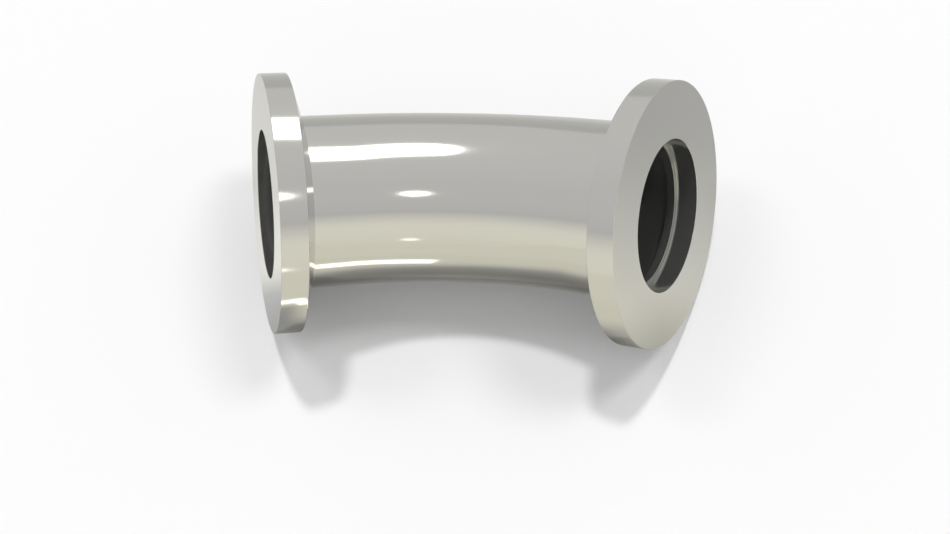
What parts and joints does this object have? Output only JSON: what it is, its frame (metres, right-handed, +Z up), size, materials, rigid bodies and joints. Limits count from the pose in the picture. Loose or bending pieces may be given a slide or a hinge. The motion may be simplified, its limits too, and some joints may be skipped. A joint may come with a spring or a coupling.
{
  "type": "forty-five degree vacuum elbow",
  "caption": "Forty-five degree elbow for a small vacuum line: a bent steel tube with a recessed clamp flange welded on each end.",
  "frame": {"origin": "bottom centre of the elbow's bounding box, on the level surface it lies on", "axes": "+X from the left flange to the right one, +Z up; the elbow lies on the back edges of both rims and on the belly of the bend, so the outer side of the bend faces down and towards +Y and the two ports open towards -X and +X, both turned up and towards -Y"},
  "size_m": [0.0576, 0.03, 0.0295],
  "materials": {
    "polished_steel": "smooth polished stainless steel"
  },
  "bodies": {
    "root": {"flange_left": "polished_steel", "flange_right": "polished_steel", "bent_tube": "polished_steel"}
  },
  "joints": []
}
